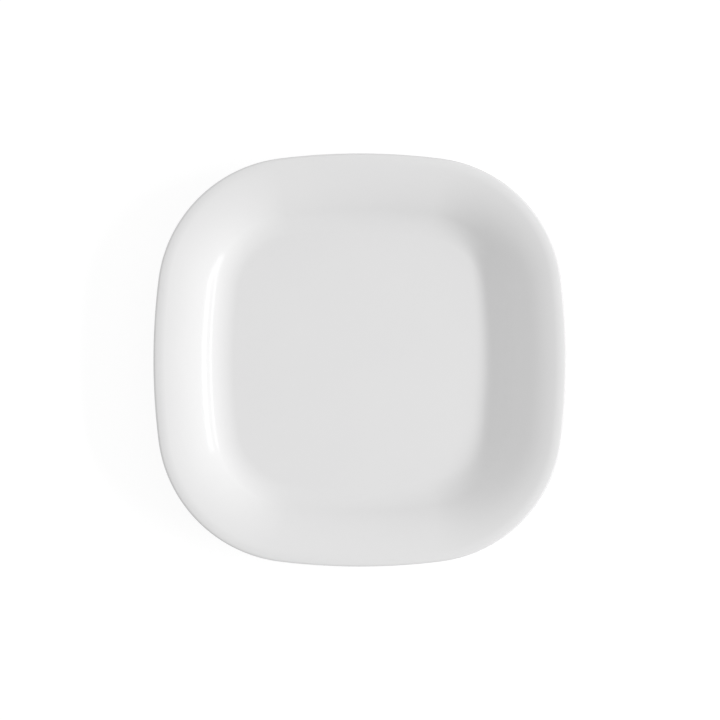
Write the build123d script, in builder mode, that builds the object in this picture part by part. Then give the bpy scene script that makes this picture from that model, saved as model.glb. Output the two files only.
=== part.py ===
from build123d import *

import os
from math import asin, cos, degrees, hypot, radians, sin

# Square dinner plate with bowed sides and round corners, pressed in one piece from white opal glass.
# It stands on its foot ring at Z = 0, with its centre on the Z axis and its sides facing X and Y.
# Sizes are in millimetres and angles in degrees.

# Outline seen from above: four bowed sides joined by four round corners
plate_width = 270.0
side_radius = 424.0
corner_radius = 91.0

# Section of the rim, from the flat floor of the well out to the edge
wall = 3.5
cove_radius = 26.0
wall_angle = 38.9
shoulder_radius = 65.0
lip_angle = 11.5
lip_radius = 18.0
lip_drop = 7.5
edge_reach = 1.75

# Foot ring under the edge of the floor
foot_inset = 1.0
foot_width = 5.0
foot_height = 2.0
foot_draft = 20.0
tread_chamfer = 0.6


def sine(angle):
    return sin(radians(angle))


def cosine(angle):
    return cos(radians(angle))


# A corner arc lies on the diagonal and touches the side arcs from inside. The centres of the plate, of a
# side and of its corner make a triangle with 135 degrees at the centre of the plate.
side_centre = side_radius - plate_width / 2
centre_distance = side_radius - corner_radius
half_side_angle = 45 - degrees(asin(side_centre * sine(45) / centre_distance))
corner_angle = 90 - 2 * half_side_angle

# The lip droops past its crest, and the edge droops with it. The runs of the cove, the shoulder, the lip
# and the edge make up the width of the rim.
edge_back = wall / 2 * sine(lip_drop)
edge_run = hypot(edge_reach * cosine(lip_drop), edge_back) - edge_back
rim_width = (
    cove_radius * sine(wall_angle)
    + shoulder_radius * (sine(wall_angle) - sine(lip_angle))
    + lip_radius * (sine(lip_angle) + sine(lip_drop))
    + edge_run
)
floor_half_width = plate_width / 2 - rim_width
floor_top = foot_height + wall

# The outline runs round from the middle of the +X side, one half of which comes first and the other last
with BuildLine() as outline:
    side = JernArc((plate_width / 2, 0), (0, 1), side_radius, half_side_angle)
    for half_sides in (2, 2, 2, 1):
        corner = JernArc(side @ 1, side % 1, corner_radius, corner_angle)
        side = JernArc(corner @ 1, corner % 1, side_radius, half_sides * half_side_angle)

with BuildSketch() as outline_face:
    make_face(outline.wire())

with BuildPart() as plate:
    # The rim is a wall of one thickness. Its top rises from the floor in a cove, bends over the shoulder,
    # passes its crest on the lip and droops a little. The round edge turns to its underside, which runs
    # back along the same curves.
    with BuildSketch(Plane.XZ):
        with BuildLine():
            cove = JernArc((floor_half_width, floor_top), (1, 0), cove_radius, wall_angle)
            shoulder = JernArc(cove @ 1, cove % 1, shoulder_radius, lip_angle - wall_angle)
            lip = JernArc(shoulder @ 1, shoulder % 1, lip_radius, -lip_angle - lip_drop)
            edge_centre = lip @ 1 - Vector(sine(lip_drop), cosine(lip_drop)) * (wall / 2)
            edge = EllipticalCenterArc(
                edge_centre, edge_reach, wall / 2, start_angle=90, arc_size=-180, rotation=-lip_drop
            )
            lip_below = JernArc(edge @ 1, edge % 1, lip_radius - wall, lip_angle + lip_drop)
            shoulder_turn = wall_angle - lip_angle
            shoulder_below = JernArc(lip_below @ 1, lip_below % 1, shoulder_radius - wall, shoulder_turn)
            cove_below = JernArc(shoulder_below @ 1, shoulder_below % 1, cove_radius + wall, -wall_angle)
            Line(cove_below @ 1, cove @ 0)
        make_face()
    sweep(path=outline.wire())

    # The flat floor closes the well
    with BuildSketch(Plane.XY.offset(foot_height)):
        offset(outline_face.sketch, amount=-rim_width)
    extrude(amount=wall)

    # The foot ring follows the edge of the floor, drafted towards its tread
    with BuildSketch(Plane.XY.offset(foot_height)):
        offset(outline_face.sketch, amount=-rim_width - foot_inset)
        offset(outline_face.sketch, amount=-rim_width - foot_inset - foot_width, mode=Mode.SUBTRACT)
    extrude(amount=-foot_height, taper=foot_draft)
    tread = plate.faces().sort_by(Axis.Z).first
    chamfer(tread.edges(), tread_chamfer)

plate.part.label = "plate"

os.makedirs("parts", exist_ok=True)
export_step(plate.part, "parts/plate.step")
print("size", plate.part.bounding_box().size, "floor half width", round(floor_half_width, 2))
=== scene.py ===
from math import asin, cos, hypot, pi, radians, sin, tan

import bmesh
import bpy
from mathutils import Matrix, Vector


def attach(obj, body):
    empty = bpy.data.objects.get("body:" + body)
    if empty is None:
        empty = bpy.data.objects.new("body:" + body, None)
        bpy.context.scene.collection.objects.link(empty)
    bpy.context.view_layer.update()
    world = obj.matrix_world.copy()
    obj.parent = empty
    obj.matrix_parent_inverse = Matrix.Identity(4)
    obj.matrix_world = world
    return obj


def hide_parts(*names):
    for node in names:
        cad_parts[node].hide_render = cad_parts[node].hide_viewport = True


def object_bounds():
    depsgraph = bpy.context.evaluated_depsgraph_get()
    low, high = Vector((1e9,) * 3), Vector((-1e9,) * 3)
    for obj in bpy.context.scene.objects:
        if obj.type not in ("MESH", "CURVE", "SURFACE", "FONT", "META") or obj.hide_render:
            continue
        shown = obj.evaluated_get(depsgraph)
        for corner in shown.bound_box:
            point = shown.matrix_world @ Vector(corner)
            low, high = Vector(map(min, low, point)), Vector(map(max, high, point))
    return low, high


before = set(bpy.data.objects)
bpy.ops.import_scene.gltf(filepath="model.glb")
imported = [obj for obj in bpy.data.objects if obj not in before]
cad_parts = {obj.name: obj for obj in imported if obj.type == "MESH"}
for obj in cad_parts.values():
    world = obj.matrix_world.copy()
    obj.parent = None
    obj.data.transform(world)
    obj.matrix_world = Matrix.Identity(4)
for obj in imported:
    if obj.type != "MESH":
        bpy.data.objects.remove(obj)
cad_low, cad_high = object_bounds()

# Square dinner plate of white opal glass, seen from straight above in soft studio light.
# Lengths are in metres and angles in radians, unless a comment says otherwise.
MM = 0.001

# Outline seen from above: four bowed sides joined by four round corners
HALF_WIDTH = (cad_high.x - cad_low.x) / 2
SIDE_RADIUS = 424 * MM
CORNER_RADIUS = 91 * MM

# Section of the rim, from the flat floor of the well out to the edge
WALL = 3.5 * MM
COVE_RADIUS = 26 * MM
WALL_ANGLE = radians(38.9)
SHOULDER_RADIUS = 65 * MM
LIP_ANGLE = radians(11.5)
LIP_RADIUS = 18 * MM
LIP_DROP = radians(7.5)
EDGE_REACH = 1.75 * MM

# Foot ring under the edge of the floor
FOOT_INSET = 1 * MM
FOOT_WIDTH = 5 * MM
FOOT_HEIGHT = 2 * MM
FOOT_DRAFT = radians(20)
FOOT_ROUND = 0.6 * MM

# How far the glass is greyed, from 0 to 1: at the tip of the edge, by wear and by painted shade that dims
# the edge, and on the tread up to a height, by wear where it touches tables and other plates
EDGE_WEAR_AND_SHADE = 0.9
TREAD_WEAR = 1.0
TREAD_HEIGHT = 0.25 * MM

# Finish of the glass. Each noise is given by its scale, in grains to the metre, and its levels of detail.
CLOUDS = (22, 3)
CLOUD_COLOURS = ((0.813, 0.812, 0.815, 1), (0.832, 0.830, 0.830, 1))
GLOSS_SPOTS = (160, 4)
GLOSS_ROUGHNESS = (0.09, 0.14)
# The scuffs and the painted shade at the tip of the edge share this noise, grey and roughness
SCUFF_AND_SHADE_NOISE = (420, 3)
SCUFF_AND_SHADE_COLOUR = (0.65, 0.65, 0.65, 1)
SCUFF_ROUGHNESS = 0.7
WAVES = (45, 1)
WAVE_HEIGHT = 0.02 * MM

# Steps of the mesh along the section and round the outline, and how near two points are welded
SIDE_STEPS = 24
CORNER_STEPS = 40
COVE_STEPS = 20
SHOULDER_STEPS = 24
LIP_STEPS = 16
EDGE_STEPS = 24
ROUND_STEPS = 6
FLOOR_RINGS = 8
WELD = 0.001 * MM

# Flat map of the skin: the length that its side spans, and where the middles of the top and the underside
# lie in it, as shares of that side
MAP_SIDE = 0.53
TOP_MIDDLE = 0.28
UNDERSIDE_MIDDLE = 0.72

# Camera: its height above the tread and the width of its sensor in millimetres, and the widths in pixels of
# the photograph's square frame and of the plate in it
CAMERA_HEIGHT = 1.4
SENSOR_WIDTH = 36
PHOTO_PIXELS = 720
PHOTO_PLATE_PIXELS = 413.2

# Light from all round: its level, and the shares by which that rises towards +X, +Y and +Z, which make it
# stronger from behind and from low down
AMBIENT = 0.811
AMBIENT_TILT = (0.02, 0.19, -0.27)

# One long lamp on the right sheds the rest of the light, and a weak lamp in front of it makes the streak of
# gloss. Each end of a lamp is given by its distance and azimuth, and one end lies further off.
KEY_ENDS = ((3.6, radians(16)), (4.6, radians(-29)))
KEY_HEIGHT = 1.68
KEY_DEPTH = 0.38
KEY_RADIANCE = 28.2
STREAK_ENDS = ((1.75, radians(16)), (2.23, radians(-29)))
STREAK_HEIGHT = 0.795
STREAK_DEPTH = 0.185
STREAK_RADIANCE = 2.4

# Floor: its size, its grey, the glow that it adds to that where it lights the plate and where it is seen,
# and its gap below the tread
FLOOR_SIZE = 8.0
FLOOR_COLOUR = 0.3
FLOOR_BOUNCE = 0.4
FLOOR_WHITE = 0.79
FLOOR_GAP = 0.05 * MM


# A corner arc lies on the diagonal and touches the side arcs from inside. The centres of the plate, of a
# side and of its corner make a triangle with 135 degrees at the centre of the plate.
side_centre = SIDE_RADIUS - HALF_WIDTH
centre_distance = SIDE_RADIUS - CORNER_RADIUS
half_side_angle = pi / 4 - asin(side_centre * sin(pi / 4) / centre_distance)
corner_centre = centre_distance * sin(half_side_angle)


def outline(inset):
    """The outline moved inwards, as points that run counter-clockwise from the lower end of the +X side."""
    points = []
    for quarter in range(4):
        turn = quarter * pi / 2
        arcs = (
            (Vector((-side_centre, 0)), SIDE_RADIUS, -half_side_angle, half_side_angle, SIDE_STEPS),
            (
                Vector((corner_centre, corner_centre)),
                CORNER_RADIUS,
                half_side_angle,
                pi / 2 - half_side_angle,
                CORNER_STEPS,
            ),
        )
        for centre, radius, start, end, steps in arcs:
            for step in range(steps):
                angle = start + (end - start) * step / steps
                point = centre + (radius - inset) * Vector((cos(angle), sin(angle)))
                x = point.x * cos(turn) - point.y * sin(turn)
                y = point.x * sin(turn) + point.y * cos(turn)
                points.append((x, y))
    return points


def arc(start, radius, from_slope, to_slope, steps):
    """Points after start on an arc whose slope changes evenly, as (reach, height, slope)."""
    bend = 1 if to_slope > from_slope else -1
    points = []
    for step in range(1, steps + 1):
        slope = from_slope + (to_slope - from_slope) * step / steps
        reach = start[0] + bend * radius * (sin(slope) - sin(from_slope))
        height = start[1] + bend * radius * (cos(from_slope) - cos(slope))
        points.append((reach, height, slope))
    return points


def rim_top():
    """The rim's top from the floor to the drooping end of the lip, as (reach, height, slope)."""
    edge_back = WALL / 2 * sin(LIP_DROP)
    edge_run = hypot(EDGE_REACH * cos(LIP_DROP), edge_back) - edge_back
    rim_width = (
        COVE_RADIUS * sin(WALL_ANGLE)
        + SHOULDER_RADIUS * (sin(WALL_ANGLE) - sin(LIP_ANGLE))
        + LIP_RADIUS * (sin(LIP_ANGLE) + sin(LIP_DROP))
        + edge_run
    )
    points = [(HALF_WIDTH - rim_width, FOOT_HEIGHT + WALL, 0)]
    points += arc(points[-1], COVE_RADIUS, 0, WALL_ANGLE, COVE_STEPS)
    points += arc(points[-1], SHOULDER_RADIUS, WALL_ANGLE, LIP_ANGLE, SHOULDER_STEPS)
    points += arc(points[-1], LIP_RADIUS, LIP_ANGLE, -LIP_DROP, LIP_STEPS)
    return points


def edge(lip_end):
    """The half ellipse from the lip to its underside, greyed at the tip by wear and painted shade, as
    (reach, height, wear and shade).
    """
    reach, height, slope = lip_end
    along = Vector((cos(slope), sin(slope)))
    across = Vector((-sin(slope), cos(slope))) * WALL / 2
    centre = Vector((reach, height)) - across
    points = []
    for step in range(1, EDGE_STEPS):
        angle = pi / 2 - pi * step / EDGE_STEPS
        point = centre + along * EDGE_REACH * cos(angle) + across * sin(angle)
        # The tip is greyed by wear and by painted shade that dims the edge
        points.append((point.x, point.y, EDGE_WEAR_AND_SHADE * cos(angle)))
    return points


def rounded(corners, radius):
    """A line through corners, with an arc in place of each one but the ends."""
    points = [corners[0]]
    for before, corner, after in zip(corners, corners[1:], corners[2:]):
        corner = Vector(corner)
        back = (Vector(before) - corner).normalized()
        ahead = (Vector(after) - corner).normalized()
        half_angle = back.angle(ahead) / 2
        centre = corner + (back + ahead).normalized() * radius / sin(half_angle)
        first = corner + back * radius / tan(half_angle) - centre
        last = corner + ahead * radius / tan(half_angle) - centre
        for step in range(ROUND_STEPS + 1):
            points.append(tuple(centre + radius * first.slerp(last, step / ROUND_STEPS)))
    points.append(corners[-1])
    return points


def foot(floor_edge):
    """The underside of the floor's edge with the foot ring, from outside inwards."""
    outer = floor_edge - FOOT_INSET
    inner = outer - FOOT_WIDTH
    lean = FOOT_HEIGHT * tan(FOOT_DRAFT)
    corners = [
        (floor_edge, FOOT_HEIGHT),
        (outer, FOOT_HEIGHT),
        (outer - lean, 0),
        (inner + lean, 0),
        (inner, FOOT_HEIGHT),
        (inner - FOOT_INSET, FOOT_HEIGHT),
    ]
    return rounded(corners, FOOT_ROUND)


def plate_section():
    """Points (reach, height, wear and shade) from the floor over the edge to the underside, and the tip's
    index.
    """
    top = rim_top()
    points = [(reach, height, 0) for reach, height, slope in top]
    points += edge(top[-1])
    for reach, height, slope in reversed(top):
        points.append((reach + WALL * sin(slope), height - WALL * cos(slope), 0))
    for reach, height in foot(points[-1][0])[1:]:
        points.append((reach, height, TREAD_WEAR if height < TREAD_HEIGHT else 0))
    return points, len(top) + EDGE_STEPS // 2 - 1


def laid_flat(points):
    """How far from the plate's middle each point lies once the section is laid flat."""
    reaches = [points[0][0]]
    for point, following in zip(points, points[1:]):
        reaches.append(reaches[-1] + hypot(following[0] - point[0], following[1] - point[1]))
    return reaches


def plate_mesh():
    """One closed skin in two halves, the top and the underside, which are welded at the tip of the edge."""
    points, tip = plate_section()
    skin = bmesh.new()
    # Per vertex: wear, and at the tip of the edge also painted shade
    wear_and_shade_layer = skin.verts.layers.float.new("wear_and_shade")
    map_layer = skin.loops.layers.uv.new("OFBake")

    def add_ring(reach, height, wear_and_shade, flat_reach, middle, share):
        """The outline at this reach, drawn in to a share of its size, as vertices with their map places."""
        ring = []
        flat_ring = outline(HALF_WIDTH - flat_reach)
        for (x, y), (flat_x, flat_y) in zip(outline(HALF_WIDTH - reach), flat_ring):
            vertex = skin.verts.new((x * share, y * share, height))
            vertex[wear_and_shade_layer] = wear_and_shade
            map_place = (middle + flat_x * share / MAP_SIDE, middle + flat_y * share / MAP_SIDE)
            ring.append((vertex, map_place))
        return ring

    for half, middle in ((points[: tip + 1], TOP_MIDDLE), (points[tip:][::-1], UNDERSIDE_MIDDLE)):
        # Rings of the flat disc in the middle, then one ring for each point of the section
        rings = []
        disc_reach, disc_height, disc_wear_and_shade = half[0]
        for step in range(FLOOR_RINGS):
            share = step / FLOOR_RINGS
            rings.append(add_ring(disc_reach, disc_height, disc_wear_and_shade, disc_reach, middle, share))
        for (reach, height, wear_and_shade), flat_reach in zip(half, laid_flat(half)):
            rings.append(add_ring(reach, height, wear_and_shade, flat_reach, middle, 1))
        for ring, following in zip(rings, rings[1:]):
            for index in range(len(ring)):
                corners = (ring[index - 1], following[index - 1], following[index], ring[index])
                face = skin.faces.new([vertex for vertex, map_place in corners])
                face.smooth = True
                for loop, (vertex, map_place) in zip(face.loops, corners):
                    loop[map_layer].uv = map_place
    bmesh.ops.remove_doubles(skin, verts=skin.verts, dist=WELD)
    bmesh.ops.recalc_face_normals(skin, faces=skin.faces)
    mesh = bpy.data.meshes.new("opal_plate")
    skin.to_mesh(mesh)
    skin.free()
    return mesh


# Materials
def new_material(name):
    """A node material, its node tree and its main shader."""
    material = bpy.data.materials.new(name)
    material.use_nodes = True
    return material, material.node_tree, material.node_tree.nodes["Principled BSDF"]


def opal_glass():
    """Glossy white glass with faint clouds and waves, scuffed where it is worn, with painted shade at the
    edge's tip.
    """
    material, tree, shader = new_material("opal_glass")
    place = tree.nodes.new("ShaderNodeTexCoord")

    def noise(scale, detail):
        texture = tree.nodes.new("ShaderNodeTexNoise")
        texture.inputs["Scale"].default_value = scale
        texture.inputs["Detail"].default_value = detail
        tree.links.new(place.outputs["Object"], texture.inputs["Vector"])
        return texture.outputs["Fac"]

    # Scuffs on the tread and the edge, and painted shade at the tip of the edge
    wear_and_shade = tree.nodes.new("ShaderNodeAttribute")
    wear_and_shade.attribute_name = "wear_and_shade"
    scuffs_and_shade = tree.nodes.new("ShaderNodeMath")
    scuffs_and_shade.operation = "MULTIPLY"
    tree.links.new(wear_and_shade.outputs["Fac"], scuffs_and_shade.inputs[0])
    tree.links.new(noise(*SCUFF_AND_SHADE_NOISE), scuffs_and_shade.inputs[1])

    # Faint clouds in the white of the glass, a little greyer where it is scuffed, and at the edge's tip as
    # painted shade
    clouds = tree.nodes.new("ShaderNodeMix")
    clouds.data_type = "RGBA"
    clouds.inputs["A"].default_value = CLOUD_COLOURS[0]
    clouds.inputs["B"].default_value = CLOUD_COLOURS[1]
    tree.links.new(noise(*CLOUDS), clouds.inputs["Factor"])
    white = tree.nodes.new("ShaderNodeMix")
    white.data_type = "RGBA"
    white.inputs["B"].default_value = SCUFF_AND_SHADE_COLOUR
    tree.links.new(scuffs_and_shade.outputs["Value"], white.inputs["Factor"])
    tree.links.new(clouds.outputs["Result"], white.inputs["A"])
    tree.links.new(white.outputs["Result"], shader.inputs["Base Color"])

    # Gloss that varies a little from place to place and is lost where the glass is scuffed
    gloss = tree.nodes.new("ShaderNodeMapRange")
    gloss.inputs["To Min"].default_value = GLOSS_ROUGHNESS[0]
    gloss.inputs["To Max"].default_value = GLOSS_ROUGHNESS[1]
    tree.links.new(noise(*GLOSS_SPOTS), gloss.inputs["Value"])
    roughness = tree.nodes.new("ShaderNodeMix")
    roughness.inputs["B"].default_value = SCUFF_ROUGHNESS
    tree.links.new(scuffs_and_shade.outputs["Value"], roughness.inputs["Factor"])
    tree.links.new(gloss.outputs["Result"], roughness.inputs["A"])
    tree.links.new(roughness.outputs["Result"], shader.inputs["Roughness"])

    # Slow waves that the mould leaves in the surface
    waves = tree.nodes.new("ShaderNodeBump")
    waves.inputs["Strength"].default_value = 1
    waves.inputs["Distance"].default_value = WAVE_HEIGHT
    tree.links.new(noise(*WAVES), waves.inputs["Height"])
    tree.links.new(waves.outputs["Normal"], shader.inputs["Normal"])
    return material


def seen_directly(tree):
    """1 for what the camera sees, also in reflections and refractions, and 0 for light that is shed."""
    path = tree.nodes.new("ShaderNodeLightPath")
    either = path.outputs["Is Camera Ray"]
    for kind in ("Is Glossy Ray", "Is Transmission Ray"):
        larger = tree.nodes.new("ShaderNodeMath")
        larger.operation = "MAXIMUM"
        tree.links.new(either, larger.inputs[0])
        tree.links.new(path.outputs[kind], larger.inputs[1])
        either = larger.outputs["Value"]
    return either


def level_by_sight(tree, shed, seen):
    """A light level that differs between shed light and what is seen. The shed level may be a socket."""
    level = tree.nodes.new("ShaderNodeMapRange")
    if isinstance(shed, bpy.types.NodeSocket):
        tree.links.new(shed, level.inputs["To Min"])
    else:
        level.inputs["To Min"].default_value = shed
    level.inputs["To Max"].default_value = seen
    tree.links.new(seen_directly(tree), level.inputs["Value"])
    return level.outputs["Result"]


def floor_white():
    """A dull grey that also glows, so that it looks white and still shows a shadow."""
    material, tree, shader = new_material("floor_white")
    shader.inputs["Base Color"].default_value = (FLOOR_COLOUR, FLOOR_COLOUR, FLOOR_COLOUR, 1)
    shader.inputs["Roughness"].default_value = 1
    shader.inputs["Specular IOR Level"].default_value = 0
    shader.inputs["Emission Color"].default_value = (1, 1, 1, 1)
    tree.links.new(level_by_sight(tree, FLOOR_BOUNCE, FLOOR_WHITE), shader.inputs["Emission Strength"])
    return material


# The plate
plate = bpy.data.objects.new("opal_plate", plate_mesh())
bpy.context.scene.collection.objects.link(plate)
plate.data.materials.append(opal_glass())
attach(plate, "root")
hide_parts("plate")

# The floor, a hair below the tread of the foot ring so that no two faces lie in one plane
half_floor = FLOOR_SIZE / 2
floor_corners = [
    (-half_floor, -half_floor, 0),
    (half_floor, -half_floor, 0),
    (half_floor, half_floor, 0),
    (-half_floor, half_floor, 0),
]
floor_mesh = bpy.data.meshes.new("floor")
floor_mesh.from_pydata(floor_corners, [], [(0, 1, 2, 3)])
floor = bpy.data.objects.new("floor", floor_mesh)
floor.location.z = -FLOOR_GAP
bpy.context.scene.collection.objects.link(floor)
floor.data.materials.append(floor_white())

# Light from all round, which looks plain white where it is seen
world = bpy.data.worlds.new("studio")
world.use_nodes = True
sky = world.node_tree
direction = sky.nodes.new("ShaderNodeTexCoord")
lean = sky.nodes.new("ShaderNodeVectorMath")
lean.operation = "DOT_PRODUCT"
lean.inputs[1].default_value = AMBIENT_TILT
sky.links.new(direction.outputs["Generated"], lean.inputs[0])
shed_level = sky.nodes.new("ShaderNodeMath")
shed_level.operation = "MULTIPLY_ADD"
shed_level.inputs[1].default_value = AMBIENT
shed_level.inputs[2].default_value = AMBIENT
sky.links.new(lean.outputs["Value"], shed_level.inputs[0])
background = sky.nodes["Background"]
background.inputs["Color"].default_value = (1, 1, 1, 1)
sky.links.new(level_by_sight(sky, shed_level.outputs["Value"], 1), background.inputs["Strength"])
bpy.context.scene.world = world


def lamp(name, places, height, depth, radiance, in_gloss):
    """A long lamp between two places, turned to the plate. It shows in gloss alone or sheds light alone."""
    ends = []
    for distance, azimuth in places:
        ends.append(Vector((distance * cos(azimuth), distance * sin(azimuth), height)))
    middle = (ends[0] + ends[1]) / 2
    along = (ends[1] - ends[0]).normalized()
    away = (middle - along * middle.dot(along)).normalized()
    light = bpy.data.lights.new(name, "AREA")
    light.shape = "RECTANGLE"
    light.size = (ends[1] - ends[0]).length
    light.size_y = depth
    # The power at which a flat lamp of this size has this radiance
    light.energy = radiance * pi * light.size * light.size_y
    lamp_object = bpy.data.objects.new(name, light)
    lamp_object.visible_glossy = in_gloss
    lamp_object.visible_diffuse = not in_gloss
    lamp_object.visible_camera = False
    turn = Matrix((along, away.cross(along), away)).transposed()
    lamp_object.matrix_world = Matrix.Translation(middle) @ turn.to_4x4()
    bpy.context.scene.collection.objects.link(lamp_object)


lamp("key", KEY_ENDS, KEY_HEIGHT, KEY_DEPTH, KEY_RADIANCE, False)
lamp("streak", STREAK_ENDS, STREAK_HEIGHT, STREAK_DEPTH, STREAK_RADIANCE, True)

# The camera straight above, with the lens that makes the plate as wide as in the photograph
camera_data = bpy.data.cameras.new("camera")
camera_data.sensor_width = SENSOR_WIDTH
edge_depth = CAMERA_HEIGHT - (cad_high.z - WALL / 2)
camera_data.lens = SENSOR_WIDTH * PHOTO_PLATE_PIXELS / PHOTO_PIXELS * edge_depth / (2 * HALF_WIDTH)
camera = bpy.data.objects.new("camera", camera_data)
camera.location = (0, 0, CAMERA_HEIGHT)
bpy.context.scene.collection.objects.link(camera)
bpy.context.scene.camera = camera

bpy.context.scene.view_settings.view_transform = "Standard"
